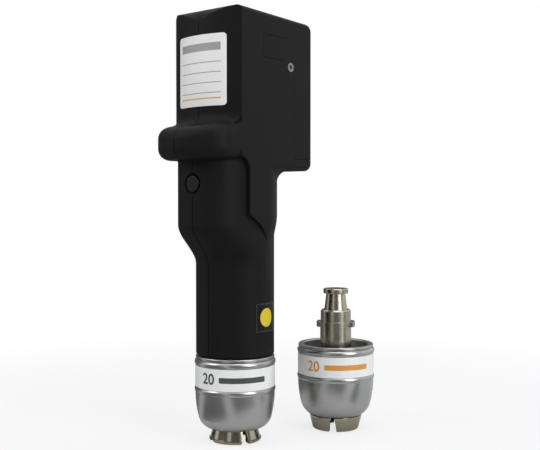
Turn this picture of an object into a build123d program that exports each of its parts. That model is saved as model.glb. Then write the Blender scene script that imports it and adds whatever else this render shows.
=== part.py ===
from build123d import *
import math
import os

# Hand-held electronic tool for 20 mm crimp seals, with one jaw head fitted and a second head
# standing beside it. Millimetres, +Z up, jaws down. The origin is on the head's axis in the
# plane of the fitted jaws' tips; -Y is the front, with the finger guard and the button.

# Clearances
SLIDE_GAP = 0.3
RUN_GAP = 0.05
SEAT_GAP = 0.02
SEAM_GAP = 0.2

# Moulded housing
WALL = 2.6
BOX_HALF_W = 27.0
BOX_FRONT = 32.4
BOX_CORNER = 24.4
BOX_CORNER_STEP = 0.5
BOX_REAR = 44.5
BOX_BOTTOM = 168.0
BOX_TOP = 263.5
BOX_TOP_SLOPE = 1.6
BOX_TOP_ROUND = 8.0
BOX_SIDE_ROUND = 3.0
BOX_REAR_ROUND = 5.0
GUARD_NOSE = 53.2
GUARD_SIDE = 33.0
GUARD_LOW = 173.0
GUARD_THICK = 17.2
GUARD_ROUND = 7.0
GUARD_SLOPE = 12.0
GUARD_HOLLOW = 7.0
GRIP_BELOW_BELL = 0.2
GRIP_NOSE = 38.0
GRIP_POWER = 3.0
GRIP_BLEND_LOW = 110.0
GRIP_BLEND_HIGH = 134.5
GRIP_CHAMFER = 1.0
PAD_FRONT = 17.0
PAD_REAR = 25.0
PAD_STRAIGHT_LOW = 140.5
PAD_FADE_LOW = 119.0
UNDER_FILLET = 8.0
RECESS_ABOVE_GUARD = 2.0
RECESS_ROUND = 8.0

# Rear cover, as seen from the side
COVER_FRONT = 18.0
COVER_TONGUE_FRONT = -5.0
COVER_TONGUE_BELOW_TOP = 14.5
COVER_TONGUE_TALL = 14.0
COVER_BEND_BELOW_SCREW = 11.0
COVER_REAR_SEAM = 25.0
COVER_ABOVE_BOTTOM = 7.0
COVER_SCREW_Y = 22.3
COVER_SCREW_BELOW_TONGUE = 3.0
COVER_SCREW_HEAD_R = 2.9
COVER_SCREW_R = 1.5
COVER_SCREW_LONG = 7.0
COVER_BOSS_DEEP = 5.2
COVER_SCREW_SUNK = 1.8

# Screws that join the two halves, as places (y, z)
HALF_SCREW_PLACES = ((-12.0, 252.0), (-12.0, 207.0), (-28.0, 184.0))
HALF_SCREW_R = 1.5
HALF_SCREW_HEAD_R = 3.0
HALF_BOSS_R = 4.0
HALF_SCREW_LONG = 26.0

# Front label
LABEL_HALF_W = 18.8
LABEL_BELOW_TOP = 16.3
LABEL_TALL = 42.3
LABEL_ROUND = 2.0
LABEL_THICK = 0.3

# Trigger
BUTTON_Z = 159.0
BUTTON_R = 5.0
BUTTON_DISH_R = 6.2
BUTTON_DISH_DEEP = 1.2
BUTTON_PROUD = 0.4
BUTTON_TRAVEL = 2.0
BUTTON_FLANGE_R = 6.4
BUTTON_FLANGE_THICK = 1.2
BUTTON_STEM_R = 1.8
BUTTON_STEM_LONG = 5.0
BOARD_Y = -18.4
BOARD_THICK = 1.6
BOARD_HALF_W = 19.6
BOARD_LOW = 147.5
BOARD_HIGH = 171.0
SWITCH_HALF_W = 4.0

# Drive
DRIVE_TRAVEL = 6.0
SCREW_R = 4.0
SCREW_LEAD = 3.0
SCREW_GROOVE = 0.6
NUT_R = 7.0
NUT_LONG = 10.0
GUIDE_R = 2.5
GUIDE_AT = 15.0
CARRIAGE_HALF_W = 9.5
CARRIAGE_THICK = 7.0
BUSH_R = 4.2
BUSH_LONG = 10.0
FORK_HALF = 12.0
PLATE_THICK = 8.0
BEARING_R = 9.5
BEARING_THICK = 5.0
GEARBOX_R = 16.8
GEARBOX_LONG = 18.0
MOTOR_R = 15.8
MOTOR_LONG = 42.0
CELL_R = 9.1
CELL_LONG = 50.0
CELL_PITCH = 18.8
TRAY_THICK = 4.0

# Head: heights are from the bell's mouth
BELL_HIGH = 45.6
BELL_R = 24.6
BELL_WALL = 3.6
BEAD_PROUD = 0.7
BAND_THICK = 0.3
BAND_LOW = 26.4
BAND_HIGH = 39.9
BOWL_PROUD = 0.2
BOWL_TOP = 23.2
BOWL_BEND_IN = 2.0
BOWL_BEND_HIGH = 7.0
RIM_DEEP = 10.0
WEB_THICK = 3.5
MOUTH_LIP = 2.6
SLEEVE_R = 10.2
SLEEVE_STEP = 0.3
SLEEVE_TOP = 67.9
SLEEVE_CHAMFER = 1.0
SLEEVE_FLANGE_R = 13.2
SLEEVE_FLANGE_THICK = 2.0
LUG_LOW = 56.7
LUG_HIGH = 60.0
LUG_REACH = 2.4
LUG_HALF_W = 6.0
LUG_RING = 0.5
ROD_R = 4.5
ROD_GUIDE_R = 7.5
ROD_GUIDE_LOW = 50.0
ROD_SHOULDER = 4.0
NECK_TOP_R = 6.25
NECK_LONG = 10.4
KNOB_R = 8.15
KNOB_THICK = 3.3
PIVOT_HIGH = 22.0
PIVOT_AT = 10.0
EYE_R = 3.0
PIN_R = 1.25
PIN_LONG = 13.0
HUB_R = 13.4
ARM_WIDE = 7.0
ANVIL_R = 9.2
ANVIL_THICK = 3.0
SPRING_R = 6.2
SPRING_WIRE = 0.7
SPRING_TURNS = 4

# Jaws: one set per head
SEAL_R = 10.4
LIP_HIGH = 1.5
JAW_TOP = 9.0
DECAP_REACH = 7.8
DECAP_NECK_R = 14.0
DECAP_TIP_R = 16.2
DECAP_FLARE = 15.0
DECAP_BAND = 1.6
DECAP_INNER_R = 11.2
DECAP_SLIT_TOP = 2.2
DECAP_SLIT_TIP = 5.4
DECAP_MOUTH_R = 14.4
DECAP_TURN = 20.0
CRIMP_REACH = 10.0
CRIMP_NECK_R = 16.5
CRIMP_BAND_R = 17.0
CRIMP_TIP_R = 14.6
CRIMP_INNER_R = 12.0
CRIMP_SLIT_TOP = 2.7
CRIMP_SLIT_TIP = 5.0
CRIMP_MOUTH_R = 17.3
CRIMP_TURN = -17.0
JAW_COUNT = 4

# Where the second head stands
SPARE_X = 31.0
SPARE_Y = 65.0
SPARE_LUG_TURN = 35.0
LUG_TURN = 0.0
RELEASE_TURN = 75.0

# Derived places in the tool
BEAD_R = BELL_R + BEAD_PROUD
BOWL_R = BELL_R + BOWL_PROUD
BAND_R = BELL_R + BAND_THICK
RIM_BORE_R = BELL_R - BELL_WALL
GRIP_R = BELL_R - GRIP_BELOW_BELL
HEAD_RIM = DECAP_REACH + BELL_HIGH
LUG_FLOOR = DECAP_REACH + LUG_LOW - SLIDE_GAP
LUG_ROOF = DECAP_REACH + LUG_HIGH + SLIDE_GAP
GRIP_LOW = HEAD_RIM + SLIDE_GAP
LABEL_HIGH = BOX_TOP - LABEL_BELOW_TOP
LABEL_LOW = LABEL_HIGH - LABEL_TALL
COVER_TONGUE_HIGH = BOX_TOP - COVER_TONGUE_BELOW_TOP
COVER_TONGUE_LOW = COVER_TONGUE_HIGH - COVER_TONGUE_TALL
COVER_SCREW_Z = COVER_TONGUE_LOW - COVER_SCREW_BELOW_TONGUE
COVER_BEND_LOW = COVER_SCREW_Z - COVER_BEND_BELOW_SCREW
COVER_LOW = BOX_BOTTOM + COVER_ABOVE_BOTTOM
SOCKET_LOW = HEAD_RIM - 3.0
SOCKET_NECK_R = RIM_BORE_R - 0.5
SOCKET_TOP = LUG_ROOF + 3.0
SOCKET_SCREW_AT = 17.0
KNOB_LOW = DECAP_REACH + SLEEVE_TOP + NECK_LONG
KNOB_HIGH = KNOB_LOW + KNOB_THICK
FORK_LOW = KNOB_LOW - 5.0
FORK_HIGH = KNOB_HIGH + SLIDE_GAP + 3.5
NUT_LOW = FORK_HIGH + 3.0
SCREW_LOW = FORK_HIGH + DRIVE_TRAVEL + SLIDE_GAP
PLATE_LOW = 124.0
GEARBOX_LOW = PLATE_LOW + PLATE_THICK
MOTOR_LOW = GEARBOX_LOW + GEARBOX_LONG
TRAY_LOW = MOTOR_LOW + MOTOR_LONG + 7.0
CELL_REAR_Y = BOX_REAR - WALL - CELL_R - 1.0
CELL_X = CELL_PITCH / 2


def rod(radius, low, high, x=0.0, y=0.0):
    upright = (Align.CENTER, Align.CENTER, Align.MIN)
    return Pos(x, y, low) * Cylinder(radius, high - low, align=upright)


def tube(outer, inner, low, high, x=0.0, y=0.0):
    return rod(outer, low, high, x, y) - rod(inner, low - 1, high + 1, x, y)


def block(x0, x1, y0, y1, z0, z1):
    centre = Pos((x0 + x1) / 2, (y0 + y1) / 2, (z0 + z1) / 2)
    return centre * Box(abs(x1 - x0), abs(y1 - y0), abs(z1 - z0))


def turned(*edges):
    return revolve(Plane.XZ * make_face(Curve() + list(edges)), Axis.Z)


def side_slab(outline, half=80.0):
    # A side view (y, z) drawn as a face and extruded across the whole width
    return extrude(Plane.YZ * outline, half, both=True)


def rounded(points, radii):
    # A closed outline whose corners each have their own radius
    face = make_face(Polyline(*points, close=True))
    for point, radius in zip(points, radii):
        if radius > 0:
            corner = face.vertices().sort_by_distance(point)[0]
            face = fillet(corner, radius)
    return face


def cross_rod(radius, x0, x1, y, z):
    return Pos((x0 + x1) / 2, y, z) * Rot(0, 90, 0) * Cylinder(radius, abs(x1 - x0))


# Housing forms: each takes an inset, so that the cavity follows the outside


def blend(z):
    # 0 on the round lower handle, 1 on the deep upper handle
    share = (z - GRIP_BLEND_LOW) / (GRIP_BLEND_HIGH - GRIP_BLEND_LOW)
    share = min(1.0, max(0.0, share))
    return share * share * (3 - 2 * share)


def grip_section(z, inset):
    # Round behind; in front a superellipse that swells from the round to the deep nose
    width = GRIP_R - inset
    front = GRIP_R + (GRIP_NOSE - GRIP_R) * blend(z) - inset
    power = 2 + (GRIP_POWER - 2) * blend(z)
    points = []
    steps = 24
    for i in range(steps):
        angle = 2 * math.pi * i / steps
        c, s = math.cos(angle), math.sin(angle)
        if s >= 0:
            points.append((width * c, width * s))
        else:
            scale = (abs(c) ** power + abs(s) ** power) ** (-1 / power)
            points.append((width * scale * c, front * scale * s))
    return Pos(0, 0, z) * make_face(Spline(*points, periodic=True))


def grip_form(inset, low, high):
    heights = [GRIP_BLEND_LOW + (GRIP_BLEND_HIGH - GRIP_BLEND_LOW) * i / 5 for i in range(6)]
    middle = loft([grip_section(z, inset) for z in heights])
    bottom = Pos(0, 0, low) * extrude(Pos(0, 0, -heights[0]) * grip_section(heights[0], inset), heights[0] - low)
    top = extrude(grip_section(heights[-1], inset), high - heights[-1])
    if inset == 0:
        bottom = chamfer(bottom.edges().sort_by(Axis.Z)[0], GRIP_CHAMFER)
    return bottom + middle + top


def pad_section(z, width):
    rear = PAD_REAR - (BOX_HALF_W - width)
    edges = [
        Line((-width, 0), (-width, -PAD_FRONT - 6)),
        Line((-width, -PAD_FRONT - 6), (width, -PAD_FRONT - 6)),
        Line((width, -PAD_FRONT - 6), (width, 0)),
        EllipticalCenterArc((0, 0), width, rear, 0, arc_size=180),
    ]
    return Pos(0, 0, z) * make_face(Curve() + edges)


def pad_form(inset):
    # The box's flat sides run down the handle and fade into it
    wide = BOX_HALF_W - inset
    narrow = GRIP_R - inset - 0.4
    straight = extrude(pad_section(PAD_STRAIGHT_LOW, wide), BOX_BOTTOM + 4 - PAD_STRAIGHT_LOW)
    steps = [i / 4 for i in range(5)]
    heights = [PAD_STRAIGHT_LOW + (PAD_FADE_LOW - PAD_STRAIGHT_LOW) * t for t in steps]
    widths = [wide + (narrow - wide) * t * t * (3 - 2 * t) for t in steps]
    fading = loft([pad_section(z, width) for z, width in zip(heights, widths)])
    front = -PAD_FRONT + inset
    side = Polyline(
        (front, PAD_STRAIGHT_LOW), (front, BOX_BOTTOM + 12), (60, BOX_BOTTOM + 12), (60, PAD_FADE_LOW - 5)
    )
    bend = RadiusArc((front, PAD_STRAIGHT_LOW), (front + 24, PAD_FADE_LOW - 5), 40)
    closing = Line((front + 24, PAD_FADE_LOW - 5), (60, PAD_FADE_LOW - 5))
    keep = side_slab(make_face(Curve() + [side, bend, closing]))
    return (straight + fading) & keep


def box_plan(inset):
    half = BOX_HALF_W - inset
    front_half = half - BOX_CORNER_STEP
    corner = -BOX_CORNER + inset
    rear = BOX_REAR - inset
    edges = [
        ThreePointArc((-front_half, corner), (0, -BOX_FRONT + inset), (front_half, corner)),
        Line((front_half, corner), (half, corner)),
        Line((half, corner), (half, rear)),
        Line((half, rear), (-half, rear)),
        Line((-half, rear), (-half, corner)),
        Line((-half, corner), (-front_half, corner)),
    ]
    return make_face(Curve() + edges)


def top_at(y, inset=0.0):
    # The top falls towards the rear
    return BOX_TOP - inset - math.tan(math.radians(BOX_TOP_SLOPE)) * (y + BOX_FRONT)


def box_form(inset, rounding=True):
    low = BOX_BOTTOM + inset
    front = -BOX_FRONT + inset
    rear = BOX_REAR - inset
    half = BOX_HALF_W - inset
    solid = Pos(0, 0, low) * extrude(box_plan(inset), BOX_TOP - low)
    points = [(front, low), (front, top_at(front, inset)), (rear, top_at(rear, inset)), (rear, low)]
    keep = side_slab(rounded(points, [0, BOX_TOP_ROUND, BOX_REAR_ROUND, BOX_REAR_ROUND]))
    solid = solid & keep
    if rounding:
        # The upper long edges and the rear upright ones are rounded together
        flank = solid.edges().filter_by(lambda e: abs(e.center().X) > half - 0.1)
        along = flank.filter_by(lambda e: e.center().Z > BOX_TOP - 6 and abs((e % 0.5).Y) > 0.9 and e.length > 20)
        upright = flank.filter_by(Axis.Z).filter_by(lambda e: e.center().Y > rear - 1)
        solid = fillet(along + upright, BOX_SIDE_ROUND)
    return solid


def guard_form(inset):
    half = BOX_HALF_W - inset
    nose = -GUARD_NOSE + inset
    plan = [
        EllipticalCenterArc((0, -GUARD_SIDE), half, -GUARD_SIDE - nose, 180, arc_size=180),
        Line((half, -GUARD_SIDE), (half, -10)),
        Line((half, -10), (-half, -10)),
        Line((-half, -10), (-half, -GUARD_SIDE)),
    ]
    low = GUARD_LOW + inset
    high = GUARD_LOW + GUARD_THICK - inset
    rise = math.tan(math.radians(GUARD_SLOPE)) * (GUARD_NOSE - 10)
    solid = Pos(0, 0, low) * extrude(make_face(Curve() + plan), high + rise - low)
    points = [(nose, low), (nose, high), (-10, high + rise), (-10, low)]
    return solid & side_slab(make_face(Polyline(*points, close=True)))


def recess_slab():
    # Under the guard the flat side stops short, with a rounded upper corner
    high = GUARD_LOW + RECESS_ABOVE_GUARD
    points = [(-80, 80), (-80, high), (-PAD_FRONT, high), (-PAD_FRONT, 80)]
    return side_slab(rounded(points, [0, 0, RECESS_ROUND, 0]))


def outer_form():
    guard = guard_form(0)
    front_edges = guard.edges().filter_by(lambda e: e.center().Y < -GUARD_SIDE - 2)
    guard = fillet(front_edges, GUARD_ROUND)
    sides = box_form(0) + pad_form(0)
    behind = sides.edges().filter_by(lambda e: abs(e.center().Z - BOX_BOTTOM) < 0.01 and e.geom_type == GeomType.BSPLINE)
    sides = fillet(behind, UNDER_FILLET) - recess_slab()
    upper = sides + guard
    # The box's front runs into the guard's top in a hollow curve
    inner_corner = upper.edges().sort_by_distance((0, -BOX_FRONT, GUARD_LOW + GUARD_THICK + 3))[0]
    upper = fillet(inner_corner, GUARD_HOLLOW)
    return upper + grip_form(0, GRIP_LOW, BOX_BOTTOM + 12)


def inner_form():
    cavity = box_form(WALL, False) + pad_form(WALL) - Pos(0, WALL, WALL) * recess_slab()
    cavity += guard_form(WALL + 1.5) + grip_form(WALL, GRIP_LOW + WALL, BOX_BOTTOM + 12)
    return cavity


def cover_region(gap):
    # Side view of the rear cover: a tongue in front, then a bend round the screw
    rear = COVER_REAR_SEAM + gap
    front = COVER_FRONT + gap
    edges = [
        Polyline((70, 300), (front, 300), (front, COVER_TONGUE_HIGH - gap),
                 (COVER_TONGUE_FRONT + gap, COVER_TONGUE_HIGH - gap),
                 (COVER_TONGUE_FRONT + gap, COVER_TONGUE_LOW + gap),
                 (COVER_SCREW_Y - 9, COVER_TONGUE_LOW + gap)),
        ThreePointArc((COVER_SCREW_Y - 9, COVER_TONGUE_LOW + gap), (COVER_SCREW_Y - 4, COVER_SCREW_Z - 6.5),
                      (rear, COVER_BEND_LOW)),
        Polyline((rear, COVER_BEND_LOW), (rear, COVER_LOW + gap), (70, COVER_LOW + gap), (70, 300)),
    ]
    return side_slab(make_face(Curve() + edges))


def half_screw_bosses():
    bosses = []
    for y, z in HALF_SCREW_PLACES:
        bosses.append(cross_rod(HALF_BOSS_R, -BOX_HALF_W, BOX_HALF_W, y, z))
    return bosses


def housing():
    outside = outer_form()
    shell = outside - inner_form()
    for boss in half_screw_bosses():
        shell += boss & outside
    # Bosses behind the rear cover take its screws
    for side in (-1, 1):
        inner = side * (BOX_HALF_W - WALL)
        boss = block(inner, side * (BOX_HALF_W - WALL - COVER_BOSS_DEEP), COVER_SCREW_Y - 14, COVER_SCREW_Y + 4,
                     COVER_SCREW_Z - 6, COVER_SCREW_Z + 3)
        shell += boss
    # The nose of the head socket comes out through the bottom
    shell -= rod(SOCKET_NECK_R + SLIDE_GAP / 3, GRIP_LOW - 1, GRIP_LOW + WALL + 1)
    # Button hole and the shallow dish round it
    button_axis = Pos(0, 0, BUTTON_Z) * Rot(90, 0, 0)
    shell -= button_axis * Pos(0, 0, GRIP_NOSE) * Cylinder(BUTTON_R + SLIDE_GAP, 2 * WALL + 3)
    shell -= button_axis * Pos(0, 0, GRIP_NOSE - BUTTON_DISH_DEEP + 2) * Cylinder(BUTTON_DISH_R, 4)
    for y, z in HALF_SCREW_PLACES:
        shell -= cross_rod(HALF_SCREW_R, 1.0 - HALF_SCREW_LONG / 2 - 10, HALF_SCREW_LONG / 2, y, z)
        shell -= cross_rod(HALF_SCREW_HEAD_R + SLIDE_GAP, -BOX_HALF_W - 1, -HALF_SCREW_LONG / 2, y, z)
    return shell


def cover_screw_holes(radius, head_radius):
    cutters = []
    for side in (-1, 1):
        out = side * (BOX_HALF_W + 1)
        seat = side * (BOX_HALF_W - COVER_SCREW_SUNK)
        inner = side * (BOX_HALF_W - COVER_SCREW_LONG)
        cutters.append(cross_rod(head_radius, seat, out, COVER_SCREW_Y, COVER_SCREW_Z))
        cutters.append(cross_rod(radius, inner, seat, COVER_SCREW_Y, COVER_SCREW_Z))
    return cutters


def housing_parts():
    shell = housing()
    for cutter in cover_screw_holes(COVER_SCREW_R + SEAT_GAP, COVER_SCREW_HEAD_R + SLIDE_GAP):
        shell -= cutter
    main = shell - cover_region(0)
    cover = shell & cover_region(SEAM_GAP)
    # The screw bosses stay with the housing, not with the cover
    inside = block(-BOX_HALF_W + WALL, BOX_HALF_W - WALL, COVER_SCREW_Y - 14, COVER_SCREW_Y + 4,
                   COVER_SCREW_Z - 6, COVER_SCREW_Z + 3)
    main += shell & inside
    cover -= inside
    right = main & block(0, 80, -90, 90, 0, 300)
    left = main & block(-80, 0, -90, 90, 0, 300)
    return {"housing_right": right, "housing_left": left, "rear_cover": cover}


def socket_screw(radius, head_radius, long, head_high):
    # Head up, its top face at z = 0, with a hexagonal socket
    body = rod(head_radius, -head_high, 0) + rod(radius, -head_high - long, -head_high)
    socket = Pos(0, 0, -head_high * 0.7) * extrude(RegularPolygon(head_radius * 0.5, 6), head_high)
    return body - socket


def screws():
    cover = []
    for side in (-1, 1):
        shape = socket_screw(COVER_SCREW_R, COVER_SCREW_HEAD_R, COVER_SCREW_LONG - 2.0, 1.6)
        cover.append(Pos(side * (BOX_HALF_W - 0.2), COVER_SCREW_Y, COVER_SCREW_Z) * Rot(0, side * 90, 0) * shape)
    halves = []
    for y, z in HALF_SCREW_PLACES:
        shape = socket_screw(HALF_SCREW_R - SEAT_GAP, HALF_SCREW_HEAD_R, HALF_SCREW_LONG - 1, 2.4)
        halves.append(Pos(-HALF_SCREW_LONG / 2 - 2.4, y, z) * Rot(0, -90, 0) * shape)
    return {"cover_screws": Compound(children=cover), "housing_screws": Compound(children=halves)}


def front_label():
    # A thin plate that follows the bowed front
    outer = Pos(0, 0, LABEL_LOW) * extrude(box_plan(-LABEL_THICK), LABEL_HIGH - LABEL_LOW)
    skin = outer - Pos(0, 0, LABEL_LOW - 1) * extrude(box_plan(0), LABEL_HIGH - LABEL_LOW + 2)
    middle = (LABEL_LOW + LABEL_HIGH) / 2
    window = RectangleRounded(2 * LABEL_HALF_W, LABEL_HIGH - LABEL_LOW, LABEL_ROUND)
    return skin & extrude(Plane.XZ * Pos(0, middle) * window, 60)


def trigger_parts():
    front = -GRIP_NOSE
    wall_back = front + WALL
    button_low = front - BUTTON_PROUD
    flange_y = wall_back + SLIDE_GAP
    axis = Rot(90, 0, 0)
    parts = [(BUTTON_R, button_low, flange_y), (BUTTON_FLANGE_R, flange_y, flange_y + BUTTON_FLANGE_THICK),
             (BUTTON_STEM_R, flange_y + BUTTON_FLANGE_THICK, flange_y + BUTTON_FLANGE_THICK + BUTTON_STEM_LONG)]
    button = Part()
    for radius, y0, y1 in parts:
        button += Pos(0, (y0 + y1) / 2, BUTTON_Z) * axis * Cylinder(radius, y1 - y0)
    rim = button.edges().filter_by(GeomType.CIRCLE).sort_by(Axis.Y)[0]
    button = fillet(rim, 0.8)
    stem_end = parts[-1][2]
    switch_front = stem_end + BUTTON_TRAVEL + SLIDE_GAP
    switch = block(-SWITCH_HALF_W, SWITCH_HALF_W, switch_front, BOARD_Y, BUTTON_Z - 4, BUTTON_Z + 4)
    board = block(-BOARD_HALF_W, BOARD_HALF_W, BOARD_Y, BOARD_Y + BOARD_THICK, BOARD_LOW, BOARD_HIGH)
    return {"trigger_button": button, "trigger_switch": switch, "control_board": board}


def drive_parts():
    parts = {}
    carriage = block(-CARRIAGE_HALF_W, CARRIAGE_HALF_W, -GUIDE_AT - 4.5, GUIDE_AT + 4.5, NUT_LOW, NUT_LOW + CARRIAGE_THICK)
    carriage += rod(FORK_HALF, FORK_LOW, FORK_HIGH) + rod(FORK_HALF - 2, FORK_HIGH, NUT_LOW)
    # The fork's slot takes the knob from behind and holds it under its edge
    knob_r = KNOB_R + SLIDE_GAP
    neck_r = NECK_TOP_R + 1.6
    pocket_low = KNOB_LOW - SLIDE_GAP
    pocket_high = KNOB_HIGH + SLIDE_GAP
    carriage -= rod(knob_r, pocket_low, pocket_high) + block(-knob_r, knob_r, 0, 30, pocket_low, pocket_high)
    carriage -= rod(neck_r, FORK_LOW - 1, pocket_low) + block(-neck_r, neck_r, 0, 30, FORK_LOW - 1, pocket_low)
    carriage -= rod(NUT_R + SEAT_GAP, NUT_LOW - 2.5, NUT_LOW + NUT_LONG)
    carriage -= rod(SCREW_R + SLIDE_GAP, FORK_HIGH - 1, NUT_LOW)
    for side in (-1, 1):
        carriage -= rod(BUSH_R + SEAT_GAP, NUT_LOW - 1, NUT_LOW + CARRIAGE_THICK + 1, 0, side * GUIDE_AT)
    parts["carriage"] = carriage
    parts["drive_nut"] = tube(NUT_R, SCREW_R + RUN_GAP, NUT_LOW - 2.5, NUT_LOW - 2.5 + NUT_LONG)
    bush_low = NUT_LOW + CARRIAGE_THICK / 2 - BUSH_LONG / 2
    bushes = [tube(BUSH_R, GUIDE_R + RUN_GAP, bush_low, bush_low + BUSH_LONG, 0, side * GUIDE_AT) for side in (-1, 1)]
    parts["guide_bushes"] = Compound(children=bushes)
    guides = [rod(GUIDE_R, SOCKET_TOP, PLATE_LOW, 0, side * GUIDE_AT) for side in (-1, 1)]
    parts["guide_rods"] = Compound(children=guides)
    screw = rod(SCREW_R, SCREW_LOW, PLATE_LOW + PLATE_THICK - 1)
    groove_count = int((PLATE_LOW - 1 - SCREW_LOW) / SCREW_LEAD)
    for i in range(groove_count):
        z = SCREW_LOW + SCREW_LEAD * (i + 0.5)
        screw -= tube(SCREW_R + 1, SCREW_R - SCREW_GROOVE, z - 0.5, z + 0.5)
    parts["lead_screw"] = screw
    inner_r = GRIP_R - WALL - SLIDE_GAP / 3
    plate = rod(inner_r, PLATE_LOW, PLATE_LOW + PLATE_THICK)
    plate -= rod(BEARING_R + SEAT_GAP, PLATE_LOW + 1.5, PLATE_LOW + 1.5 + BEARING_THICK)
    plate -= rod(SCREW_R + 1, PLATE_LOW - 1, PLATE_LOW + PLATE_THICK + 1)
    parts["bearing_plate"] = plate
    parts["thrust_bearing"] = tube(BEARING_R, SCREW_R + RUN_GAP, PLATE_LOW + 1.5, PLATE_LOW + 1.5 + BEARING_THICK)
    parts["gearbox"] = rod(GEARBOX_R, GEARBOX_LOW, MOTOR_LOW)
    motor = rod(MOTOR_R, MOTOR_LOW, MOTOR_LOW + MOTOR_LONG) + rod(5, MOTOR_LOW, MOTOR_LOW + MOTOR_LONG + 3)
    parts["motor"] = motor
    return parts


def battery_parts():
    cells = []
    floor = TRAY_LOW + TRAY_THICK
    wall_y = BOX_REAR - WALL - SEAM_GAP
    wall_x = BOX_HALF_W - WALL - SEAM_GAP
    tray = block(-wall_x, wall_x, CELL_REAR_Y - CELL_PITCH - CELL_R - 3, wall_y, TRAY_LOW, floor + 6)
    for row in range(2):
        for side in (-1, 1):
            x = side * CELL_X
            y = CELL_REAR_Y - CELL_PITCH * row
            cells.append(rod(CELL_R, floor, floor + CELL_LONG, x, y))
            tray -= rod(CELL_R + SEAT_GAP, floor, floor + 20, x, y)
    tray -= rod(MOTOR_R + 1, TRAY_LOW - 1, TRAY_LOW + 1)
    return {"battery_cells": Compound(children=cells), "battery_tray": tray}


def socket_parts():
    # Bayonet socket: the lugs rise through two slots and turn over a ledge
    outer_r = GRIP_R - WALL - SLIDE_GAP / 3
    floor = GRIP_LOW + WALL
    socket = rod(outer_r, floor, LUG_ROOF) + rod(SOCKET_NECK_R, SOCKET_LOW, floor)
    socket -= rod(SLEEVE_R + RUN_GAP, SOCKET_LOW - 1, LUG_ROOF + 1)
    reach = SLEEVE_R + LUG_REACH + SLIDE_GAP
    socket -= rod(reach, LUG_FLOOR, LUG_ROOF + 1)
    slot = block(-reach, reach, -LUG_HALF_W - SLIDE_GAP, LUG_HALF_W + SLIDE_GAP, SOCKET_LOW - 1, LUG_FLOOR + 1)
    slot &= rod(reach + SEAT_GAP, SOCKET_LOW - 2, LUG_FLOOR + 2)
    socket -= Rot(0, 0, LUG_TURN + RELEASE_TURN) * slot
    plate = tube(outer_r, SLEEVE_R + RUN_GAP, LUG_ROOF, SOCKET_TOP)
    screws_at = []
    for turn in (45, 135, 225, 315):
        c, s = math.cos(math.radians(turn)), math.sin(math.radians(turn))
        x, y = SOCKET_SCREW_AT * c, SOCKET_SCREW_AT * s
        socket -= rod(1.5 + SEAT_GAP, LUG_ROOF - 6, LUG_ROOF, x, y)
        plate -= rod(1.5 + SEAT_GAP, LUG_ROOF - 1, SOCKET_TOP + 1, x, y)
        screws_at.append(Pos(x, y, SOCKET_TOP + 1.8) * socket_screw(1.5, 2.6, SOCKET_TOP - LUG_ROOF + 5, 1.8))
    return {"nose_socket": socket, "socket_plate": plate, "socket_screws": Compound(children=screws_at)}


# Heads: heights from the bell's mouth


def bell(mouth_r):
    bead = BEAD_R - BELL_R
    side = TangentArc((BOWL_R, BOWL_TOP), (BOWL_R - BOWL_BEND_IN, BOWL_BEND_HIGH), tangent=(0, -1))
    turn = TangentArc(side @ 1, (mouth_r + 0.7, 0), tangent=side % 1)
    outside = [
        Line((mouth_r, 0), (mouth_r + 0.7, 0)),
        turn,
        side,
        ThreePointArc((BOWL_R, BOWL_TOP), (BEAD_R, BOWL_TOP + 1.5), (BELL_R, BAND_LOW)),
        Line((BELL_R, BAND_LOW), (BELL_R, BAND_HIGH)),
        ThreePointArc((BELL_R, BAND_HIGH), (BEAD_R, BAND_HIGH + 1.9), (BELL_R - bead, BAND_HIGH + 3.8)),
        Polyline((BELL_R - bead, BAND_HIGH + 3.8), (BELL_R - bead, BAND_HIGH + 4.3),
                 (BELL_R, BAND_HIGH + 4.5), (BELL_R, BELL_HIGH - 0.6)),
        ThreePointArc((BELL_R, BELL_HIGH - 0.6), (BELL_R - 0.2, BELL_HIGH - 0.2), (BELL_R - 0.8, BELL_HIGH)),
    ]
    web_top = BELL_HIGH - RIM_DEEP
    web_low = web_top - WEB_THICK
    inside = [
        Polyline((BELL_R - 0.8, BELL_HIGH), (RIM_BORE_R + 0.6, BELL_HIGH), (RIM_BORE_R, BELL_HIGH - 0.6),
                 (RIM_BORE_R, web_top), (SLEEVE_R + SEAT_GAP, web_top), (SLEEVE_R + SEAT_GAP, web_low),
                 (RIM_BORE_R, web_low), (RIM_BORE_R, 14.0)),
        Spline((RIM_BORE_R, 14.0), (20.0, 7.5), (mouth_r + 0.5, MOUTH_LIP), tangents=[(0, -1), (-1, -0.3)]),
        Polyline((mouth_r + 0.5, MOUTH_LIP), (mouth_r, MOUTH_LIP), (mouth_r, 0)),
    ]
    return turned(*outside, *inside)


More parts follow.
